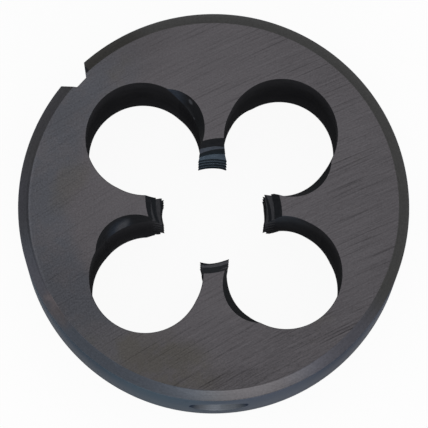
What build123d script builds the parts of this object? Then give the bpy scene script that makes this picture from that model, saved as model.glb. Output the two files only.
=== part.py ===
from build123d import *
import os
from math import ceil, cos, hypot, radians, sin, tan

# Round threading die, closed pattern: one disc of high-speed steel that cuts a right-hand
# M12 x 1.75 outside thread.  The back face lies on Z = 0, the starting face looks up at
# Z = die_thickness, and the die's axis is Z.  Lengths are millimetres.  Angles are degrees,
# counted from +X towards +Y.  Four lands stand at 0, 90, 180 and 270, with a chip hole
# between each two of them.

# Disc
die_diameter = 38.0
die_thickness = 14.0
rim_chamfer_width = 1.0
rim_chamfer_height = 0.7

# Thread
thread_diameter = 12.0
thread_pitch = 1.75
thread_form_angle = 60.0
thread_groove_span = 48.0
thread_start_height = -0.34

# Chip holes: drilled through, then opened towards the bore with a slightly smaller cutter,
# which stands a little nearer the cutting side of the land before it
land_count = 4
chip_hole_angle = 45.0
chip_hole_diameter = 10.8
chip_hole_pitch_radius = 9.65
chip_opening_angle = 44.5
chip_opening_diameter = 10.7
chip_opening_pitch_radius = 9.2

# Lead cone at the mouth of the bore, set off from the die's axis so that each land
# falls away behind its cutting edge
lead_mouth_radius = 6.55
lead_half_angle = 21.0
lead_relief_offset = 0.9
land_reach = 2.4

# Spiral point: a leaning round wheel hollows the cutting side of each land at the face
point_wheel_diameter = 7.68
point_wheel_pitch_radius = 8.82
point_wheel_angle = 31.1
point_wheel_lean = 20.0
point_wheel_lean_direction = 149.0
point_wheel_depth = 4.2

# V groove down the rim, for the screw that spreads or locates the die
groove_angle = 135.0
groove_floor_radius = 17.65
groove_floor_width = 1.36
groove_side_angle = 36.0

# Conical dimples round the rim, for the screws that hold the die in its stock
dimple_count = 4
dimple_depth = 3.1
dimple_side_angle = 45.0

# Margin by which a cutting shape overshoots the surface that it breaks through
clear = 1.0

die_radius = die_diameter / 2
thread_radius = thread_diameter / 2
mid_height = die_thickness / 2
form_slope = tan(radians(thread_form_angle / 2))
sharp_height = thread_pitch / (2 * form_slope)
bore_radius = thread_radius - 5 / 8 * sharp_height
thread_turns = ceil(mid_height / thread_pitch)

# Turning the die over about the X axis swaps its two faces and leaves its lands in place
turned_over = Location((0, 0, die_thickness), (180, 0, 0))


with BuildPart() as thread_groove:
    # One stretch of the thread's groove, long enough to cross a land, rising from +X
    groove_rise = thread_pitch * thread_groove_span / 360
    groove_inner_radius = bore_radius - thread_pitch / 16
    groove_half_root = thread_pitch / 16
    groove_half_mouth = groove_half_root + (thread_radius - groove_inner_radius) * form_slope
    with BuildLine() as groove_line:
        Helix(thread_pitch, groove_rise, bore_radius)
    with BuildSketch(Plane.XZ):
        with BuildLine():
            Polyline(
                (groove_inner_radius, -groove_half_mouth),
                (thread_radius, -groove_half_root),
                (thread_radius, groove_half_root),
                (groove_inner_radius, groove_half_mouth),
                close=True,
            )
        make_face()
    sweep(path=groove_line.line, is_frenet=True)

with BuildPart() as lead_cone:
    # The lead cone's share on the land at +X.  That land cuts on its +Y side, so the cone's
    # centre is moved to -Y, and the surface falls away from the cutting edge to the heel.
    cone_slope = tan(radians(lead_half_angle))
    cone_mouth_radius = hypot(lead_mouth_radius, lead_relief_offset)
    cone_depth = (cone_mouth_radius - bore_radius + clear) / cone_slope
    with BuildSketch(Plane.XZ.offset(lead_relief_offset)):
        with BuildLine():
            Polyline(
                (0, die_thickness - cone_depth),
                (bore_radius - clear, die_thickness - cone_depth),
                (cone_mouth_radius + clear * cone_slope, die_thickness + clear),
                (0, die_thickness + clear),
                close=True,
            )
        make_face()
    revolve(axis=Axis((0, -lead_relief_offset, 0), (0, 0, 1)))
    with Locations((thread_radius, 0, die_thickness)):
        Box(thread_radius, 2 * land_reach, 3 * cone_depth, mode=Mode.INTERSECT)

with BuildPart() as point_wheel:
    # The wheel works in the chip hole between +X and +Y, on the side nearest the land at +X,
    # and leans so that it leaves that land as it goes deeper.
    lean = radians(point_wheel_lean)
    lean_direction = radians(point_wheel_lean_direction)
    wheel_angle = radians(point_wheel_angle)
    wheel_centre = Vector(cos(wheel_angle), sin(wheel_angle), 0) * point_wheel_pitch_radius
    wheel_axis = Vector(
        sin(lean) * cos(lean_direction),
        sin(lean) * sin(lean_direction),
        -cos(lean),
    )
    wheel_start = wheel_centre + Vector(0, 0, die_thickness) - wheel_axis * 2 * clear
    with BuildSketch(Plane(origin=wheel_start, z_dir=wheel_axis)):
        Circle(point_wheel_diameter / 2)
    extrude(amount=point_wheel_depth + 2 * clear)

with BuildPart() as die:
    # Turned blank, revolved from the V groove's side, so that the rim is one face from one
    # edge of the groove round to the other
    with BuildSketch(Plane.XZ.rotated((0, 0, groove_angle))):
        with BuildLine():
            Polyline(
                (0, 0),
                (die_radius - rim_chamfer_width, 0),
                (die_radius, rim_chamfer_height),
                (die_radius, die_thickness - rim_chamfer_height),
                (die_radius - rim_chamfer_width, die_thickness),
                (0, die_thickness),
                close=True,
            )
        make_face()
    revolve(axis=Axis.Z)

    # Bore at the thread's minor diameter
    with BuildSketch(Plane.XY):
        Circle(bore_radius)
    extrude(amount=die_thickness, mode=Mode.SUBTRACT)

    # Chip holes
    with BuildSketch(Plane.XY):
        with PolarLocations(chip_hole_pitch_radius, land_count, chip_hole_angle):
            Circle(chip_hole_diameter / 2)
        with PolarLocations(chip_opening_pitch_radius, land_count, chip_opening_angle):
            Circle(chip_opening_diameter / 2)
    extrude(amount=die_thickness, mode=Mode.SUBTRACT)

    # Lead cones and spiral points, from both faces
    with PolarLocations(0, land_count):
        add(lead_cone.part, mode=Mode.SUBTRACT)
        add(lead_cone.part.moved(turned_over), mode=Mode.SUBTRACT)
        add(point_wheel.part, mode=Mode.SUBTRACT)
        add(point_wheel.part.moved(turned_over), mode=Mode.SUBTRACT)

    # Thread: a right-hand helix, so each land takes its grooves a quarter of the pitch
    # higher than the land before it.  The helix crosses +X a little below mid-thickness.
    helix_height = mid_height + thread_start_height
    for turn in range(-thread_turns, thread_turns + 1):
        for land in range(land_count):
            groove_height = helix_height + thread_pitch * (turn + land / land_count)
            groove_turn = 360 * land / land_count - thread_groove_span / 2
            groove_place = Location((0, 0, groove_height - groove_rise / 2), (0, 0, groove_turn))
            add(thread_groove.part.moved(groove_place), mode=Mode.SUBTRACT)

    # V groove down the rim
    notch_mouth_radius = die_radius + clear
    notch_half_floor = groove_floor_width / 2
    notch_half_mouth = notch_half_floor + tan(radians(groove_side_angle)) * (
        notch_mouth_radius - groove_floor_radius
    )
    with BuildSketch(Plane.XY.rotated((0, 0, groove_angle))):
        with BuildLine():
            Polyline(
                (groove_floor_radius, -notch_half_floor),
                (notch_mouth_radius, -notch_half_mouth),
                (notch_mouth_radius, notch_half_mouth),
                (groove_floor_radius, notch_half_floor),
                close=True,
            )
        make_face()
    extrude(amount=die_thickness, mode=Mode.SUBTRACT)

    # Dimples round the rim
    dimple_height = dimple_depth + clear
    with Locations((0, 0, mid_height)):
        with PolarLocations(die_radius - dimple_depth, dimple_count):
            Cone(
                0,
                dimple_height * tan(radians(dimple_side_angle)),
                dimple_height,
                rotation=(0, 90, 0),
                align=(Align.CENTER, Align.CENTER, Align.MIN),
                mode=Mode.SUBTRACT,
            )

die.part.label = "round_die"

os.makedirs("parts", exist_ok=True)
export_step(die.part, "parts/round_die.step")
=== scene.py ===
from math import cos, hypot, pi, radians, sin, tan

import bmesh
import bpy
from mathutils import Matrix, Vector


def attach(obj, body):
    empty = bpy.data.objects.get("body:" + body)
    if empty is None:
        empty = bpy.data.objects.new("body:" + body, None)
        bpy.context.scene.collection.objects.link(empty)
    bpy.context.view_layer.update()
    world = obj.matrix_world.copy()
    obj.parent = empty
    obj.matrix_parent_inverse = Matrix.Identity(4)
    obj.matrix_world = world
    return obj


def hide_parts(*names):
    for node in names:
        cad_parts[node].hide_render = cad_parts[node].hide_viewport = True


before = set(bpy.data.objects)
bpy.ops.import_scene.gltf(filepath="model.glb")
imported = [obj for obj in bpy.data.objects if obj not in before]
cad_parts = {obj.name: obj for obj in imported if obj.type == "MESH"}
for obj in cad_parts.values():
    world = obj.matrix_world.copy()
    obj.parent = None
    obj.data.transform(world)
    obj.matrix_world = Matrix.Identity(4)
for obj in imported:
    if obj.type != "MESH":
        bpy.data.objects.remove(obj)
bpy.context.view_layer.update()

scene = bpy.context.scene

# A round threading die, made in one piece of high-speed steel.  It lies on its back face with
# its bore upright.  The file builds it up as one disc with one cut after another: faces, chip
# holes, bore and lead cones, thread, spiral points, V groove and dimples.  Lengths of the steel
# are millimetres until the finished die is brought into the frame's metres.


# ---------------------------------------------------------------------------------------------
# Camera: a long lens that looks almost straight down on the starting face, from a little
# to the front of the die, so that the rim's front edge and the far walls of the holes show.
# Its distance and its aim are metres, and its lens and sensor are millimetres.
camera_tilt = radians(7.81)
camera_turn = radians(-3.7)
camera_roll = radians(-1.64)
camera_distance = 0.4442
camera_aim = Vector((0.000005, -0.000809, 0.0139))
lens_length = 385.4
sensor_width = 36.0
nearest_seen = 0.01
farthest_seen = 20.0

toward_camera = Vector((
    sin(camera_turn) * sin(camera_tilt),
    -cos(camera_turn) * sin(camera_tilt),
    cos(camera_tilt),
))
level_right = Vector((0, 1, 0)).cross(toward_camera).normalized()
level_up = toward_camera.cross(level_right)
picture_right = level_right * cos(camera_roll) + level_up * sin(camera_roll)
picture_up = level_up * cos(camera_roll) - level_right * sin(camera_roll)

lens = bpy.data.cameras.new("long_lens")
lens.sensor_width = sensor_width
lens.lens = lens_length
lens.clip_start = nearest_seen
lens.clip_end = farthest_seen
camera = bpy.data.objects.new("camera", lens)
stance = Matrix((picture_right, picture_up, toward_camera)).transposed().to_4x4()
stance.translation = camera_aim + toward_camera * camera_distance
camera.matrix_world = stance
scene.collection.objects.link(camera)
scene.camera = camera
scene.view_settings.view_transform = "Standard"


# ---------------------------------------------------------------------------------------------
# Turned blank: the disc comes off the lathe with a chamfer at each end of its rim.  The
# corners of each chamfer are left very slightly round by the tool.
die_radius = 19.0
die_thickness = 14.0
rim_chamfer_width = 1.0
rim_chamfer_height = 0.7
corner_round = 0.07
rim_steps = 360
millimetres_per_metre = 1000.0


def solid_from(points, faces, name):
    """A closed mesh, its outside out, with every corner kept."""
    shape = bmesh.new()
    corners = [shape.verts.new(p) for p in points]
    for face in faces:
        shape.faces.new([corners[i] for i in face])
    bmesh.ops.recalc_face_normals(shape, faces=shape.faces)
    mesh = bpy.data.meshes.new(name)
    shape.to_mesh(mesh)
    shape.free()
    return mesh


def turned(profile, steps, name, first=0.0, last=360.0):
    """The solid that a closed outline of (radius, height) sweeps round the Z axis."""
    whole = last - first == 360
    rings = steps if whole else steps + 1
    points = []
    index = []
    for k in range(rings):
        angle = radians(first + (last - first) * k / steps)
        ring = []
        for j, (radius, height) in enumerate(profile):
            if radius == 0 and k > 0:
                ring.append(index[0][j])
            else:
                ring.append(len(points))
                points.append((radius * cos(angle), radius * sin(angle), height))
        index.append(ring)
    faces = []
    count = len(profile)
    for k in range(steps):
        here = index[k]
        there = index[(k + 1) % rings]
        for j in range(count):
            n = (j + 1) % count
            face = list(dict.fromkeys([here[j], there[j], there[n], here[n]]))
            if len(face) > 2:
                faces.append(face)
    if not whole:
        faces.append(index[0])
        faces.append(index[-1])
    return solid_from(points, faces, name)


def rounded(outline, sizes, steps=3):
    """The outline with each corner that has a size replaced by a small arc."""
    result = []
    for i, corner in enumerate(outline):
        size = sizes[i]
        if not size:
            result.append(corner)
            continue
        c = Vector(corner)
        before = (Vector(outline[i - 1]) - c).normalized()
        after = (Vector(outline[(i + 1) % len(outline)]) - c).normalized()
        start = c + before * size
        end = c + after * size
        for k in range(steps + 1):
            t = k / steps
            p = start * (1 - t) ** 2 + c * 2 * t * (1 - t) + end * t ** 2
            result.append((p.x, p.y))
    return result


face_radius = die_radius - rim_chamfer_width
blank_outline = [
    (0, 0),
    (face_radius, 0),
    (die_radius, rim_chamfer_height),
    (die_radius, die_thickness - rim_chamfer_height),
    (face_radius, die_thickness),
    (0, die_thickness),
]
corner_rounds = [0, corner_round, corner_round, corner_round, corner_round, 0]
blank_mesh = turned(rounded(blank_outline, corner_rounds), rim_steps, "blank")
die = bpy.data.objects.new("round_die_finished", blank_mesh)
scene.collection.objects.link(die)


def new_finish(name, edge_tint, metal=1.0, specular=0.5):
    """A steel finish with its own shader, added to the die.

    It gives back the finish's number, its node tree, its shader and the place on the steel
    in millimetres.
    """
    material = bpy.data.materials.new(name)
    material.use_nodes = True
    tree = material.node_tree
    shader = tree.nodes["Principled BSDF"]
    shader.inputs["Metallic"].default_value = metal
    shader.inputs["Specular IOR Level"].default_value = specular
    shader.inputs["Specular Tint"].default_value = (*edge_tint, 1)
    die.data.materials.append(material)
    place = tree.nodes.new("ShaderNodeTexCoord")
    scaled = tree.nodes.new("ShaderNodeVectorMath")
    scaled.operation = "SCALE"
    scaled.inputs["Scale"].default_value = millimetres_per_metre
    tree.links.new(place.outputs["Object"], scaled.inputs[0])
    return len(die.data.materials) - 1, tree, shader, scaled.outputs["Vector"]


def sum_node(tree, operation, a, b=None):
    """One sum on shader values, each a socket or a plain number."""
    node = tree.nodes.new("ShaderNodeMath")
    node.operation = operation
    for socket, value in zip(node.inputs, (a, b)):
        if value is None:
            continue
        if isinstance(value, (int, float)):
            socket.default_value = value
        else:
            tree.links.new(value, socket)
    return node.outputs[0]


def added(tree, *values):
    """The sum of several shader values."""
    total = values[0]
    for value in values[1:]:
        total = sum_node(tree, "ADD", total, value)
    return total


def times(tree, *values):
    """The product of several shader values."""
    total = values[0]
    for value in values[1:]:
        total = sum_node(tree, "MULTIPLY", total, value)
    return total


def noise(tree, where, scale, detail, rough):
    """Noise over the steel, from 0 to 1, with one scale or a scale for each direction."""
    mapping = tree.nodes.new("ShaderNodeMapping")
    mapping.inputs["Scale"].default_value = scale if isinstance(scale, tuple) else (scale,) * 3
    tree.links.new(where, mapping.inputs["Vector"])
    node = tree.nodes.new("ShaderNodeTexNoise")
    node.inputs["Scale"].default_value = 1.0
    node.inputs["Detail"].default_value = detail
    node.inputs["Roughness"].default_value = rough
    tree.links.new(mapping.outputs[0], node.inputs["Vector"])
    return node.outputs["Fac"]


def split(tree, vector):
    """The three numbers of a vector."""
    node = tree.nodes.new("ShaderNodeSeparateXYZ")
    tree.links.new(vector, node.inputs[0])
    return node.outputs


def joined(tree, x, y, z):
    """A vector of three numbers, each a socket or a plain number."""
    node = tree.nodes.new("ShaderNodeCombineXYZ")
    for socket, value in zip(node.inputs, (x, y, z)):
        if isinstance(value, (int, float)):
            socket.default_value = value
        else:
            tree.links.new(value, socket)
    return node.outputs[0]


def spread(tree, value, span, levels=(0.0, 1.0)):
    """A smooth change from one level to another, while a value crosses a span."""
    node = tree.nodes.new("ShaderNodeMapRange")
    node.interpolation_type = "SMOOTHSTEP"
    node.inputs["From Min"].default_value = span[0]
    node.inputs["From Max"].default_value = span[1]
    node.inputs["To Min"].default_value = levels[0]
    node.inputs["To Max"].default_value = levels[1]
    tree.links.new(value, node.inputs["Value"])
    return node.outputs["Result"]


def swing(tree, value, amount):
    """Noise turned into a swing of so much either way about zero."""
    return sum_node(tree, "MULTIPLY", sum_node(tree, "SUBTRACT", value, 0.5), 2 * amount)


def blended(tree, share, first, second):
    """Two colours mixed by a share, each a socket or a plain linear colour."""
    node = tree.nodes.new("ShaderNodeMix")
    node.data_type = "RGBA"
    tree.links.new(share, node.inputs[0])
    for socket, value in ((node.inputs[6], first), (node.inputs[7], second)):
        if isinstance(value, tuple):
            socket.default_value = (*value, 1)
        else:
            tree.links.new(value, socket)
    return node.outputs[2]


def brightened(tree, colour, factor):
    """A colour made lighter or darker by a factor."""
    node = tree.nodes.new("ShaderNodeVectorMath")
    node.operation = "SCALE"
    if isinstance(colour, tuple):
        node.inputs[0].default_value = colour
    else:
        tree.links.new(colour, node.inputs[0])
    tree.links.new(factor, node.inputs["Scale"])
    return node.outputs["Vector"]


def coat(tree, shader, colour, worn, roughness):
    """Gives a shader its colour, lighter or darker with wear, and its roughness."""
    tree.links.new(brightened(tree, colour, worn), shader.inputs["Base Color"])
    if isinstance(roughness, float):
        shader.inputs["Roughness"].default_value = roughness
    else:
        tree.links.new(roughness, shader.inputs["Roughness"])


def tool_marks(tree, shader, height, strength, depth):
    """Raises the surface's light and shade by a height value, depth in metres."""
    bump = tree.nodes.new("ShaderNodeBump")
    bump.inputs["Strength"].default_value = strength
    bump.inputs["Distance"].default_value = depth
    tree.links.new(height, bump.inputs["Height"])
    tree.links.new(bump.outputs[0], shader.inputs["Normal"])


def wandering(tree, mm, reach, size):
    """The place pushed about by noise of a size, so that the edges of oxide stains wander."""
    node = tree.nodes.new("ShaderNodeTexNoise")
    node.inputs["Scale"].default_value = 1 / size
    node.inputs["Detail"].default_value = 3.0
    tree.links.new(mm, node.inputs["Vector"])
    centred = tree.nodes.new("ShaderNodeVectorMath")
    centred.operation = "SUBTRACT"
    centred.inputs[1].default_value = (0.5, 0.5, 0.5)
    tree.links.new(node.outputs["Color"], centred.inputs[0])
    pushed = tree.nodes.new("ShaderNodeVectorMath")
    pushed.operation = "MULTIPLY_ADD"
    pushed.inputs[1].default_value = (reach, reach, reach)
    tree.links.new(centred.outputs[0], pushed.inputs[0])
    tree.links.new(mm, pushed.inputs[2])
    return pushed.outputs[0]


def stain(tree, where, centre, reach, turn, soft):
    """1 inside an oval stain and 0 outside it, at every height.

    The stain reaches so far two ways from its centre, is turned so many degrees, and has an
    edge that is soft over a share of its reach.
    """
    every_height = 1000
    node = tree.nodes.new("ShaderNodeMapping")
    node.vector_type = "TEXTURE"
    node.inputs["Location"].default_value = (*centre, 0)
    node.inputs["Rotation"].default_value = (0, 0, radians(turn))
    node.inputs["Scale"].default_value = (*reach, every_height)
    tree.links.new(where, node.inputs["Vector"])
    length = tree.nodes.new("ShaderNodeVectorMath")
    length.operation = "LENGTH"
    tree.links.new(node.outputs[0], length.inputs[0])
    return spread(tree, length.outputs["Value"], (1 + soft, 1 - soft))


def distance_out(tree, place):
    """How far a place is from the die's axis."""
    x, y, z = split(tree, place)
    return sum_node(tree, "SQRT", added(tree, times(tree, x, x), times(tree, y, y)))


def bearing_of(tree, place):
    """A place's bearing from the die's axis in radians, counted from -X towards -Y."""
    x, y, z = split(tree, place)
    return sum_node(tree, "ARCTAN2", times(tree, y, -1.0), times(tree, x, -1.0))


def within(tree, bearing, middle, half, soft):
    """1 round a middle bearing and 0 elsewhere.

    The edges lie so many degrees either side of the middle, and fade over the soft degrees
    before and after them.
    """
    off = sum_node(tree, "ABSOLUTE", sum_node(tree, "SUBTRACT", bearing, radians(middle)))
    return spread(tree, off, (radians(half + soft), radians(half - soft)))


# Rim: fine rings left by the lathe tool, under a blue oxide that turns teal on the left.  The
# rim is painted lighter towards the starting face and round the front, and a little darker to
# the front right: painted light and shade.
rim_edge_tint = (0.24, 0.265, 0.31)
rim_teal = (0.064, 0.084, 0.098)
rim_blue = (0.081, 0.086, 0.102)
ring_scale = (0.12, 9.0, 1.0)
mark_depth = 0.000004

# A span says where a look starts to change and where the change ends, and a zone says its
# middle, its half width and its soft ends in degrees, as within takes them.
painted_light_upward = (-1.0, 15.0)
teal_to_blue = (-8.0, 6.0)
front_right_painted_shade = (radians(112.0), radians(134.0))
front_painted_light_zone = (88.0, 30.0, 18.0)

turned_rim, tree, shader, mm = new_finish("turned_rim", rim_edge_tint)
x, y, z = split(tree, mm)
bearing = bearing_of(tree, mm)
around = times(tree, bearing, die_radius)
rings = noise(tree, joined(tree, around, z, 0.0), ring_scale, detail=3.0, rough=0.6)
grain = noise(tree, mm, 5.0, detail=2.0, rough=0.6)
front = within(tree, bearing, *front_painted_light_zone)
worn = added(tree, swing(tree, rings, 0.24), swing(tree, grain, 0.30), 1.0)
# Painted light and shade: lighter towards the starting face and round the front, darker to the
# front right.
worn = times(
    tree, worn,
    spread(tree, z, painted_light_upward, (0.75, 1.50)),
    spread(tree, front, (0.0, 1.0), (0.70, 1.18)),
    spread(tree, bearing, front_right_painted_shade, (1.0, 0.92)))
side = split(tree, wandering(tree, mm, reach=6.0, size=7.0))[0]
colour = blended(tree, spread(tree, side, teal_to_blue), rim_teal, rim_blue)
coat(tree, shader, colour, worn, roughness=0.4)
tool_marks(tree, shader, rings, strength=0.3, depth=mark_depth)

# Chamfers: turned with the rim, under a grey oxide with zones of blue and violet from the left
# round the front, and of slate and olive from the left round to the V groove.  The zones also
# carry painted light and shade, lighter and darker by bearing round the chamfer.  At the left
# the inner edge is darker and two spots are rubbed, and there is a nick beside the V groove.
steel_edge_tint = (0.8, 0.82, 0.9)
chamfer_grey = (0.0725, 0.0722, 0.0712)
chamfer_ring_scale = (0.12, 12.0, 1.0)
left_line_inward = (18.24, 18.10)
left_line_zone = (6.0, 16.0, 12.0)

# Each zone has its colour too: its oxide's hue, with painted light and shade in its brightness.
# A rubbed spot or a stain has its centre, its reach, its
# turn and its softness, as stain takes them.
oxide_and_painted_light_zones = (
    (46.0, 42.0, 16.0, (0.087, 0.098, 0.119)),
    (22.0, 9.0, 8.0, (0.107, 0.109, 0.129)),
    (103.0, 14.0, 9.0, (0.066, 0.063, 0.067)),
    (130.0, 15.0, 8.0, (0.090, 0.090, 0.106)),
    (-5.0, 11.0, 8.0, (0.065, 0.066, 0.076)),
    (-31.0, 14.0, 9.0, (0.061, 0.0605, 0.066)),
    (-56.0, 13.0, 6.0, (0.050, 0.0485, 0.0455)),
)
long_rub = ((-15.4, -9.6), (0.8, 1.7), 33, 0.6)
short_rub = ((-15.9, -8.7), (0.5, 0.8), 30, 0.6)
nick = ((-11.95, 13.65), (0.40, 0.14), -60, 0.5)
long_rub_colour = (0.114, 0.106, 0.114)
short_rub_colour = (0.150, 0.134, 0.143)
nick_colour = (0.022, 0.022, 0.026)

turned_chamfer, tree, shader, mm = new_finish("turned_chamfer", steel_edge_tint)
away = distance_out(tree, mm)
bearing = bearing_of(tree, mm)
around = times(tree, bearing, die_radius)
rings = noise(tree, joined(tree, around, away, 0.0), chamfer_ring_scale, detail=3.0, rough=0.6)
grain = noise(tree, mm, 5.0, detail=2.0, rough=0.6)
left_line = times(
    tree,
    within(tree, bearing, *left_line_zone),
    spread(tree, away, left_line_inward, (0.0, -0.22)))
worn = added(tree, swing(tree, rings, 0.22), swing(tree, grain, 0.3), 1.0, left_line)
colour = chamfer_grey
# Each zone's colour holds its oxide hue and painted light and shade.
for middle, half, soft, oxide in oxide_and_painted_light_zones:
    colour = blended(tree, within(tree, bearing, middle, half, soft), colour, oxide)
place = wandering(tree, mm, reach=1.6, size=1.0)
colour = blended(tree, stain(tree, place, *long_rub), colour, long_rub_colour)
colour = blended(tree, stain(tree, place, *short_rub), colour, short_rub_colour)
colour = blended(tree, stain(tree, mm, *nick), colour, nick_colour)
coat(tree, shader, colour, worn, roughness=0.36)
tool_marks(tree, shader, rings, strength=0.25, depth=mark_depth)

# A polygon's facing is 0 on the rim, 0.82 on a chamfer and 1 on a face.
least_chamfer_facing = 0.6
for polygon in die.data.polygons:
    on_rim = abs(polygon.normal.z) <= least_chamfer_facing
    polygon.material_index = turned_rim if on_rim else turned_chamfer


# ---------------------------------------------------------------------------------------------
# Ground faces: both faces are ground flat on a large wheel, which leaves fine scratches on arcs
# of one wide circle.  The steam oxide over them is a grey that wanders into slate and olive.
grinder_centre = (83.0, -171.0)
grinder_radius = 190.0
plain_oxide = (0.0702, 0.0662, 0.0714)
slate_oxide = (0.0600, 0.0618, 0.0706)
olive_oxide = (0.0640, 0.0600, 0.0560)
long_scratch_scale = (0.20, 7.2, 1.0)
short_scratch_scale = (1.3, 8.0, 1.0)
deep_scratch_scale = (0.12, 6.4, 1.0)
coarse_left_to_middle = (-14.0, -7.0)
keen_to_right = (-8.0, 8.0)
keen_to_front = (-6.0, -14.0)
centre_to_rim = (8.0, 17.0)
painted_shade_front_to_back = (-17.0, 14.0)
slate_outward = (13.5, 15.0)
slate_zone = (1.0, 58.0, 14.0)
bare_edge_outward = (17.72, 17.88)
bare_edge_zone = (3.0, 22.0, 6.0)
left_painted_shade = ((-14.0, -8.2), (3.4, 5.2), 30, 0.6)
notch_painted_shade = ((-7.8, 16.0), (4.6, 1.6), 27, 0.6)
front_painted_shade = ((2.2, -17.0), (3.6, 1.4), 4, 0.5)
front_olive = ((-6.0, -14.9), (6.4, 2.6), -20, 0.5)
left_olive = ((-14.2, 2.2), (1.0, 2.0), -20, 0.6)

ground_face, tree, shader, mm = new_finish("ground_face", steel_edge_tint)
x, y, z = split(tree, mm)

# Scratches run along the grinder's circle, and are keener towards the right and the front.
across_x = sum_node(tree, "SUBTRACT", x, grinder_centre[0])
across_y = sum_node(tree, "SUBTRACT", y, grinder_centre[1])
across = sum_node(tree, "SQRT", added(
    tree, times(tree, across_x, across_x), times(tree, across_y, across_y)))
along = times(tree, sum_node(tree, "ARCTAN2", across_y, across_x), grinder_radius)
track = joined(tree, along, across, z)
long_scratch = noise(tree, track, long_scratch_scale, detail=2.0, rough=0.55)
short_scratch = noise(tree, track, short_scratch_scale, detail=2.0, rough=0.6)
deep_scratch = noise(tree, track, deep_scratch_scale, detail=1.0, rough=0.4)
grain = noise(tree, mm, 6.0, detail=2.0, rough=0.7)
keen = added(
    tree, 0.55,
    spread(tree, x, keen_to_right, (0.0, 0.6)),
    spread(tree, y, keen_to_front, (0.0, 0.25)))
deep = times(tree, keen, spread(tree, deep_scratch, (0.42, 0.28), (0.0, 0.26)))
lines = added(
    tree,
    times(tree, swing(tree, grain, 0.38), spread(tree, x, coarse_left_to_middle, (1.35, 1.0))),
    times(tree, keen, swing(tree, long_scratch, 0.26)),
    times(tree, keen, swing(tree, short_scratch, 0.40)),
    times(tree, deep, -1.0))

# The oxide is a little uneven in depth and thin at the left edge.  Three patches are painted
# darker, and the face is painted darker towards the front and lighter towards the back: painted
# shade and light.
slow = swing(tree, noise(tree, mm, 0.13, detail=2.0, rough=0.5), 0.14)
place = wandering(tree, mm, reach=4.0, size=5.0)
away = distance_out(tree, place)
bearing = bearing_of(tree, place)
# Painted shade: three patches made darker.
darker = added(
    tree,
    stain(tree, place, *left_painted_shade),
    times(tree, stain(tree, place, *notch_painted_shade), 0.7),
    stain(tree, place, *front_painted_shade))
bare_edge = times(
    tree,
    spread(tree, distance_out(tree, mm), bare_edge_outward),
    within(tree, bearing_of(tree, mm), *bare_edge_zone))
# Painted shade and light: darker towards the front, lighter towards the back.
worn = added(
    tree, lines, slow,
    spread(tree, away, centre_to_rim, (1.06, 0.99)),
    spread(tree, y, painted_shade_front_to_back, (-0.07, 0.05)),
    times(tree, darker, -0.12),
    times(tree, bare_edge, 0.18))

# Slate lies in a band along the left edge.  Olive lies in patches at the front and the left,
# and faintly here and there on the rest.
patches = noise(tree, mm, 0.45, detail=3.0, rough=0.6)
slate = times(
    tree,
    spread(tree, away, slate_outward),
    within(tree, bearing, *slate_zone),
    spread(tree, patches, (0.38, 0.56), (0.55, 1.0)))
olive = added(
    tree,
    times(
        tree, stain(tree, place, *front_olive), spread(tree, patches, (0.36, 0.58), (0.25, 0.9))),
    times(tree, stain(tree, place, *left_olive), 0.5),
    spread(tree, noise(tree, mm, 0.16, detail=3.0, rough=0.6), (0.60, 0.74), (0.0, 0.4)))
colour = blended(tree, slate, plain_oxide, slate_oxide)
colour = blended(tree, sum_node(tree, "MINIMUM", olive, 1.0), colour, olive_oxide)
roughness = spread(tree, short_scratch, (0.25, 0.75), (0.38, 0.48))
coat(tree, shader, colour, worn, roughness)
tool_marks(tree, shader, lines, strength=0.35, depth=mark_depth)

least_face_facing = 0.99
for polygon in die.data.polygons:
    if abs(polygon.normal.z) > least_face_facing:
        polygon.material_index = ground_face


# ---------------------------------------------------------------------------------------------
# Chip holes: four holes drilled right through between the lands, each opened towards the bore
# with a slightly smaller cutter.  Their mouths have the sharpness taken off with a stone.
land_count = 4
chip_hole_diameter = 10.8
chip_hole_pitch_radius = 9.65
chip_hole_angle = 45.0
chip_opening_diameter = 10.7
chip_opening_pitch_radius = 9.2
chip_opening_angle = 44.5
chip_hole_steps = 240
mouth_break = 0.05
through = 2.0
mid_height = die_thickness / 2


def cut(cutter_mesh, placement, finish):
    """Takes a cutter's shape out of the die, and leaves the cutter's finish on the new surface."""
    mesh = cutter_mesh.copy()
    mesh.transform(placement)
    for material in die.data.materials:
        mesh.materials.append(material)
    for polygon in mesh.polygons:
        polygon.material_index = finish
    cutter = bpy.data.objects.new("cutter", mesh)
    scene.collection.objects.link(cutter)
    step = die.modifiers.new("cut", "BOOLEAN")
    step.operation = "DIFFERENCE"
    step.solver = "MANIFOLD"
    step.object = cutter
    graph = bpy.context.evaluated_depsgraph_get()
    graph.update()
    result = bpy.data.meshes.new_from_object(die.evaluated_get(graph))
    die.modifiers.remove(step)
    spent = die.data
    die.data = result
    bpy.data.meshes.remove(spent)
    bpy.data.objects.remove(cutter)
    bpy.data.meshes.remove(mesh)


def turn_z(degrees):
    """A turn round the die's axis."""
    return Matrix.Rotation(radians(degrees), 4, "Z")


# Turning the die over about the X axis swaps its two faces and leaves its lands in place.
turned_over = Matrix.Translation((0, 0, die_thickness)) @ Matrix.Rotation(pi, 4, "X")

# Drilled walls: dark and dull with oxide, with drill rings, painted darker deep in the hole and
# lighter near the mouths as painted shade.
# They are rubbed lighter beside the left land, and blued beside the right one.
wall_edge_tint = (0.5, 0.5, 0.52)
wall_oxide = (0.0148, 0.0149, 0.0166)
wall_blue = (0.0260, 0.0300, 0.0370)
wall_ring_scale = (0.12, 0.12, 5.0)
wall_ring_depth = 0.00001
painted_shade_middle_to_mouth = (1.0, 6.5)
blue_upward = (3.0, 11.0)
left_land_rub = ((-6.4, -1.6), (4.0, 1.8), 10, 0.7)
right_land_blue = ((5.6, -1.9), (2.8, 1.7), 0, 0.6)

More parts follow.
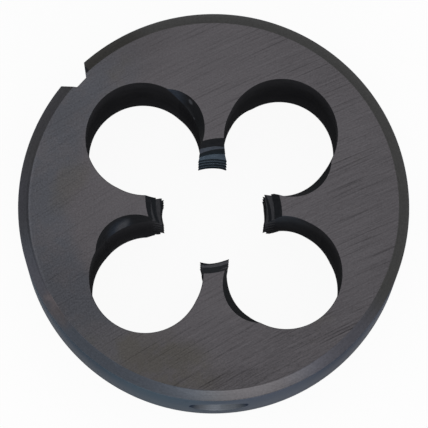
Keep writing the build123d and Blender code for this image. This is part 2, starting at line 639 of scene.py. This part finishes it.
drilled_wall, tree, shader, mm = new_finish(
    "drilled_wall", wall_edge_tint, metal=0.1, specular=0.0)
x, y, z = split(tree, mm)
rings = noise(tree, mm, wall_ring_scale, detail=3.0, rough=0.6)
blotch = noise(tree, mm, 0.5, detail=3.0, rough=0.6)
from_middle = sum_node(tree, "ABSOLUTE", sum_node(tree, "SUBTRACT", z, mid_height))
# Painted shade: darker in the middle of the hole, lighter near the mouths.
worn = added(
    tree, swing(tree, rings, 0.30), swing(tree, blotch, 0.5),
    stain(tree, mm, *left_land_rub),
    spread(tree, from_middle, painted_shade_middle_to_mouth, (0.85, 1.35)))
blued = times(tree, stain(tree, mm, *right_land_blue), spread(tree, z, blue_upward))
coat(tree, shader, blended(tree, blued, wall_oxide, wall_blue), worn, roughness=0.5)
tool_marks(tree, shader, rings, strength=0.3, depth=wall_ring_depth)

for diameter, pitch_radius, angle in (
    (chip_hole_diameter, chip_hole_pitch_radius, chip_hole_angle),
    (chip_opening_diameter, chip_opening_pitch_radius, chip_opening_angle),
):
    radius = diameter / 2
    drill_outline = [
        (0, -through),
        (radius, -through),
        (radius, die_thickness + through),
        (0, die_thickness + through),
    ]
    stone_outline = [
        (0, die_thickness - 3 * mouth_break),
        (radius - 2 * mouth_break, die_thickness - 3 * mouth_break),
        (radius + 2 * mouth_break, die_thickness + mouth_break),
        (0, die_thickness + mouth_break),
    ]
    drill = turned(drill_outline, chip_hole_steps, "drill")
    stone = turned(stone_outline, chip_hole_steps, "stone")
    for land in range(land_count):
        spot = turn_z(angle + 90 * land) @ Matrix.Translation((pitch_radius, 0, 0))
        cut(drill, spot, drilled_wall)
        cut(stone, spot, drilled_wall)
        cut(stone, turned_over @ spot, drilled_wall)


# ---------------------------------------------------------------------------------------------
# Bore and lead cones: the bore has the thread's minor diameter.  At each face a lead cone is
# ground on every land, off centre, so that the land falls away behind its cutting edge.
thread_diameter = 12.0
thread_pitch = 1.75
thread_radius = thread_diameter / 2
flank_slope = tan(radians(30))
bore_radius = thread_radius - 5 / 8 * thread_pitch / (2 * flank_slope)
bore_steps = 288
lead_mouth_radius = 6.55
lead_slope = tan(radians(21))
lead_relief_offset = 0.9
lead_overshoot = 1.0
lead_wheel_core = 1.0
lead_wheel_first = -30
lead_wheel_last = 36
lead_wheel_steps = 72

# Lead cones: ground to a dark even surface, finely ringed, with a little teal deep on the far
# land.
cone_edge_tint = (0.40, 0.41, 0.42)
cone_oxide = (0.0285, 0.0295, 0.0325)
cone_teal = (0.0255, 0.0325, 0.0385)
cone_ring_scale = (1.0, 1.0, 9.0)
axis_to_far_land = (1.0, 5.0)
teal_downward = (12.2, 11.4)

lead_ground, tree, shader, mm = new_finish(
    "lead_ground", cone_edge_tint, metal=0.5, specular=0.0)
x, y, z = split(tree, mm)
rings = noise(tree, joined(tree, 0.0, 0.0, z), cone_ring_scale, detail=2.0, rough=0.6)
grain = noise(tree, mm, 2.0, detail=2.0, rough=0.6)
worn = added(tree, swing(tree, rings, 0.35), swing(tree, grain, 0.3), 1.0)
teal = times(tree, spread(tree, y, axis_to_far_land), spread(tree, z, teal_downward))
coat(tree, shader, blended(tree, teal, cone_oxide, cone_teal), worn, roughness=0.4)

reamer_outline = [
    (0, -through),
    (bore_radius, -through),
    (bore_radius, die_thickness + through),
    (0, die_thickness + through),
]
cut(turned(reamer_outline, bore_steps, "reamer"), Matrix.Identity(4), lead_ground)

mouth_radius = hypot(lead_mouth_radius, lead_relief_offset)
tip_radius = bore_radius - lead_overshoot
tip_height = die_thickness - (mouth_radius - tip_radius) / lead_slope
lead_outline = [
    (lead_wheel_core, tip_height),
    (tip_radius, tip_height),
    (mouth_radius + lead_overshoot * lead_slope, die_thickness + lead_overshoot),
    (lead_wheel_core, die_thickness + lead_overshoot),
]
lead_wheel = turned(
    lead_outline, lead_wheel_steps, "lead_wheel", lead_wheel_first, lead_wheel_last)
set_off = Matrix.Translation((0, -lead_relief_offset, 0))
for land in range(land_count):
    cut(lead_wheel, turn_z(90 * land) @ set_off, lead_ground)
    cut(lead_wheel, turned_over @ turn_z(90 * land) @ set_off, lead_ground)


# ---------------------------------------------------------------------------------------------
# Thread: a right-hand helix through the four lands, cut with a tap.  Its grooves have flat
# flanks at 60 degrees and a rounded root, which clears the rod's own crests.
steps_per_turn = 120
tap_overrun = 1.0
thread_start_height = -0.34
root_half_width = 0.14
root_clearance = 0.17
root_shoulder = 0.06
root_crown = 0.012
bore_overlap = 0.12
crown_half_width = 0.7 * root_half_width

root_radius = thread_radius + root_clearance
inner_radius = bore_radius - bore_overlap
mouth_half_width = root_half_width + (root_radius - inner_radius) * flank_slope
shoulder_half_width = root_half_width + root_shoulder * flank_slope
tap_profile = [
    (inner_radius, -mouth_half_width),
    (root_radius - root_shoulder, -shoulder_half_width),
    (root_radius - root_crown, -crown_half_width),
    (root_radius, 0),
    (root_radius - root_crown, crown_half_width),
    (root_radius - root_shoulder, shoulder_half_width),
    (inner_radius, mouth_half_width),
]

# Thread flanks: tapped clean, so brighter than the cones, and darker at the crests.  The near
# land is painted lighter, as painted light.  The oxide is blue on the far land, and a greyer
# blue at that land's start.
flank_edge_tint = (0.4, 0.43, 0.48)
flank_grey = (0.057, 0.058, 0.064)
flank_blue = (0.043, 0.058, 0.075)
flank_start = (0.040, 0.046, 0.057)
crest_to_flank = (5.13, 5.24)
painted_light_near_land = (-5.5, -1.5)
start_upward = (11.1, 11.9)

thread_cut, tree, shader, mm = new_finish(
    "thread_cut", flank_edge_tint, metal=0.7, specular=0.0)
x, y, z = split(tree, mm)
grain = noise(tree, mm, 3.0, detail=3.0, rough=0.6)
# Painted light: the near land is lighter.
worn = times(
    tree,
    added(tree, swing(tree, grain, 0.4), 1.0),
    spread(tree, distance_out(tree, mm), crest_to_flank, (0.22, 1.0)),
    spread(tree, y, painted_light_near_land, (1.75, 1.0)))
far_land = spread(tree, y, axis_to_far_land)
far_start = times(tree, far_land, spread(tree, z, start_upward))
colour = blended(tree, far_land, flank_grey, flank_blue)
colour = blended(tree, far_start, colour, flank_start)
coat(tree, shader, colour, worn, roughness=0.45)

last_step = int((mid_height + tap_overrun) / thread_pitch * steps_per_turn)
tap_points = []
for k in range(-last_step, last_step + 1):
    angle = 2 * pi * k / steps_per_turn
    rise = mid_height + thread_start_height + thread_pitch * k / steps_per_turn
    for radius, height in tap_profile:
        tap_points.append((radius * cos(angle), radius * sin(angle), rise + height))
count = len(tap_profile)
last_ring = 2 * last_step
tap_faces = []
for k in range(last_ring):
    here = k * count
    there = here + count
    for j in range(count):
        n = (j + 1) % count
        tap_faces.append((here + j, there + j, there + n, here + n))
tap_faces.append(tuple(range(count)))
tap_faces.append(tuple(range(last_ring * count, (last_ring + 1) * count)))
tap = solid_from(tap_points, tap_faces, "tap")
cut(tap, Matrix.Identity(4), thread_cut)


# ---------------------------------------------------------------------------------------------
# Spiral points: a leaning round wheel hollows the cutting side of each land at both faces, so
# that the chips are thrown forward.
wheel_diameter = 7.68
wheel_pitch_radius = 8.82
wheel_angle = radians(31.1)
wheel_lean = radians(20)
wheel_lean_direction = radians(149)
wheel_depth = 4.2
wheel_corner = 0.15
wheel_steps = 200

# Spiral points: a dark polish from the wheel, with a few streaks.  Two of them, at the left and
# at the far side, have a painted bluish highlight and painted glints in streaks and specks.
point_oxide = (0.0215, 0.0222, 0.0245)
point_sheen_blue = (0.037, 0.045, 0.060)
glint_colour = (0.082, 0.085, 0.096)
streak_scale = (2.0, 2.0, 6.0)
left_point_sheen = ((-9.2, -1.9), (1.1, 0.6), 35, 0.6)
far_point_sheen = ((-3.8, 11.1), (1.2, 0.7), -30, 0.6)
left_glint_streak = ((-8.95, -1.52), (0.70, 0.25), 35, 0.6)
far_glint_streak = ((-2.35, 9.55), (0.8, 0.35), -52, 0.6)
near_glint_speck = ((-1.75, 8.95), (0.16, 0.14), -50, 0.5)
far_glint_speck = ((-1.95, 10.35), (0.25, 0.10), -50, 0.5)

ground_point, tree, shader, mm = new_finish(
    "ground_point", cone_edge_tint, metal=0.15, specular=0.0)
streaks = noise(tree, mm, streak_scale, detail=3.0, rough=0.6)
worn = added(tree, swing(tree, streaks, 0.5), 1.0)
# Painted bluish highlights at the two points.
blued = added(tree, stain(tree, mm, *left_point_sheen), stain(tree, mm, *far_point_sheen))
# Painted glints: lighter streaks and specks.
painted_glints = added(
    tree,
    stain(tree, mm, *left_glint_streak),
    times(tree, stain(tree, mm, *far_glint_streak), 0.45),
    stain(tree, mm, *near_glint_speck),
    stain(tree, mm, *far_glint_speck))
colour = blended(tree, sum_node(tree, "MINIMUM", blued, 1.0), point_oxide, point_sheen_blue)
colour = blended(tree, sum_node(tree, "MINIMUM", painted_glints, 1.0), colour, glint_colour)
coat(tree, shader, colour, worn, roughness=0.4)

wheel_axis = Vector((
    sin(wheel_lean) * cos(wheel_lean_direction),
    sin(wheel_lean) * sin(wheel_lean_direction),
    -cos(wheel_lean),
))
wheel_centre = Vector((
    wheel_pitch_radius * cos(wheel_angle),
    wheel_pitch_radius * sin(wheel_angle),
    die_thickness,
))
wheel_radius = wheel_diameter / 2
wheel_outline = [
    (0, -through),
    (wheel_radius, -through),
    (wheel_radius, wheel_depth - wheel_corner),
    (wheel_radius - wheel_corner, wheel_depth),
    (0, wheel_depth),
]
point_wheel = turned(wheel_outline, wheel_steps, "point_wheel")
wheel_turn = wheel_axis.to_track_quat("Z", "Y").to_matrix().to_4x4()
wheel_stand = Matrix.Translation(wheel_centre) @ wheel_turn
for land in range(land_count):
    cut(point_wheel, turn_z(90 * land) @ wheel_stand, ground_point)
    cut(point_wheel, turned_over @ turn_z(90 * land) @ wheel_stand, ground_point)


# ---------------------------------------------------------------------------------------------
# V groove and dimples: the groove runs the whole length of the rim, and takes the screw that
# stops the die turning.  Four conical dimples take the screws that hold it in its stock.
groove_angle = 135
groove_floor_radius = 17.65
groove_floor_width = 1.36
groove_side_slope = tan(radians(36))
dimple_count = 4
dimple_depth = 3.1
dimple_flat = 0.06
dimple_steps = 160
clear = 1


def prism(outline, low, high, name):
    """The solid that an outline of (x, y) makes between two heights."""
    points = [(x, y, z) for z in (low, high) for x, y in outline]
    count = len(outline)
    faces = [tuple(range(count)), tuple(range(count, 2 * count))]
    for k in range(count):
        n = (k + 1) % count
        faces.append((k, n, n + count, k + count))
    return solid_from(points, faces, name)


groove_mouth_radius = die_radius + clear
groove_half_floor = groove_floor_width / 2
groove_half_mouth = groove_half_floor + groove_side_slope * (
    groove_mouth_radius - groove_floor_radius)
groove_outline = [
    (groove_floor_radius, -groove_half_floor),
    (groove_mouth_radius, -groove_half_mouth),
    (groove_mouth_radius, groove_half_mouth),
    (groove_floor_radius, groove_half_floor),
]
groove_cutter = prism(groove_outline, -clear, die_thickness + clear, "groove_cutter")
cut(groove_cutter, turn_z(groove_angle), turned_rim)

# Dimples: countersunk with fine rings, painted lighter in the middle and darker at their two
# sides as painted light and shade.
dimple_oxide = (0.083, 0.091, 0.104)
dimple_painted_light_to_shade = (0.9, 2.6)

countersunk, tree, shader, mm = new_finish("countersunk", rim_edge_tint)
x, y, z = split(tree, mm)
away = distance_out(tree, mm)
rings = noise(tree, joined(tree, 0.0, 0.0, away), cone_ring_scale, detail=2.0, rough=0.6)
grain = noise(tree, mm, 4.0, detail=2.0, rough=0.6)
sideways = sum_node(
    tree, "MINIMUM", sum_node(tree, "ABSOLUTE", x), sum_node(tree, "ABSOLUTE", y))
# Painted light and shade: lighter in the middle, darker at the two sides.
worn = times(
    tree,
    added(tree, swing(tree, rings, 0.3), swing(tree, grain, 0.2), 1.0),
    spread(tree, sideways, dimple_painted_light_to_shade, (1.45, 0.88)))
coat(tree, shader, dimple_oxide, worn, roughness=0.4)
tool_marks(tree, shader, rings, strength=0.3, depth=mark_depth)

countersink_height = dimple_depth + clear - dimple_flat
countersink_outline = [
    (0, 0),
    (dimple_flat, 0),
    (dimple_flat + countersink_height, countersink_height),
    (0, countersink_height),
]
countersink = turned(countersink_outline, dimple_steps, "countersink")
dimple_floor = Matrix.Translation((die_radius - dimple_depth, 0, mid_height))
laid_down = Matrix.Rotation(pi / 2, 4, "Y")
for dimple in range(dimple_count):
    cut(countersink, turn_z(360 / dimple_count * dimple) @ dimple_floor @ laid_down, countersunk)


# ---------------------------------------------------------------------------------------------
# Finished die: the cut disc of steel is brought into the frame's metres, and stands for the
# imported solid.  Its flat faces stay flat, and its round walls are smooth up to their corners.
least_flat_facing = 0.999
sharp_corner = radians(25)
die.data.transform(Matrix.Scale(1 / millimetres_per_metre, 4))
for polygon in die.data.polygons:
    polygon.use_smooth = abs(polygon.normal.z) < least_flat_facing
die.data.set_sharp_from_angle(angle=sharp_corner)
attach(die, "root")
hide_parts("round_die")


# ---------------------------------------------------------------------------------------------
# Floor and light: a wide sheet of white paper, lit by a large soft lamp overhead, by a second
# one at the front and by white walls all round.  Lengths are metres from here on.
floor_reach = 3
floor_thickness = 0.004
floor_gap = 0.00002
paper_grey = 0.85
glow_share = 0.94
sky_seen = 1.0
sky_light = 0.6

floor_outline = [
    (-floor_reach, -floor_reach),
    (floor_reach, -floor_reach),
    (floor_reach, floor_reach),
    (-floor_reach, floor_reach),
]
floor = bpy.data.objects.new("floor", prism(floor_outline, -floor_thickness, 0, "floor"))
floor.location.z = -floor_gap
scene.collection.objects.link(floor)

# The paper glows, so that it is seen nearly white and still keeps the die's shadow.
paper = bpy.data.materials.new("floor_paper")
paper.use_nodes = True
tree = paper.node_tree
tree.nodes.clear()
out = tree.nodes.new("ShaderNodeOutputMaterial")
diffuse = tree.nodes.new("ShaderNodeBsdfDiffuse")
diffuse.inputs["Color"].default_value = (paper_grey, paper_grey, paper_grey, 1)
glow = tree.nodes.new("ShaderNodeEmission")
glow.inputs["Strength"].default_value = 1.0
path = tree.nodes.new("ShaderNodeLightPath")
seen = sum_node(tree, "MAXIMUM", path.outputs["Is Camera Ray"], path.outputs["Is Glossy Ray"])
seen = sum_node(tree, "MAXIMUM", seen, path.outputs["Is Transmission Ray"])
mix = tree.nodes.new("ShaderNodeMixShader")
tree.links.new(times(tree, seen, glow_share), mix.inputs[0])
tree.links.new(diffuse.outputs[0], mix.inputs[1])
tree.links.new(glow.outputs[0], mix.inputs[2])
tree.links.new(mix.outputs[0], out.inputs[0])
floor.data.materials.append(paper)

# The walls light the steel less strongly than they are seen.
world = bpy.data.worlds.new("studio")
scene.world = world
world.use_nodes = True
tree = world.node_tree
background = tree.nodes["Background"]
background.inputs["Color"].default_value = (1, 1, 1, 1)
path = tree.nodes.new("ShaderNodeLightPath")
strength = tree.nodes.new("ShaderNodeMix")
strength.inputs[2].default_value = sky_light
strength.inputs[3].default_value = sky_seen
tree.links.new(path.outputs["Is Camera Ray"], strength.inputs[0])
tree.links.new(strength.outputs[0], background.inputs["Strength"])


def soft_lamp(name, where, size, power):
    """A round lamp that looks at the die."""
    lamp = bpy.data.lights.new(name, "AREA")
    lamp.shape = "DISK"
    lamp.size = size
    lamp.energy = power
    stand = bpy.data.objects.new(name, lamp)
    stand.location = where
    stand.rotation_euler = (-Vector(where)).to_track_quat("-Z", "Y").to_euler()
    scene.collection.objects.link(stand)


soft_lamp("overhead_lamp", where=(0, 0.1, 1.0), size=0.9, power=2.5)
soft_lamp("front_lamp", where=(0.19, -0.88, 0.5), size=0.6, power=2.9)
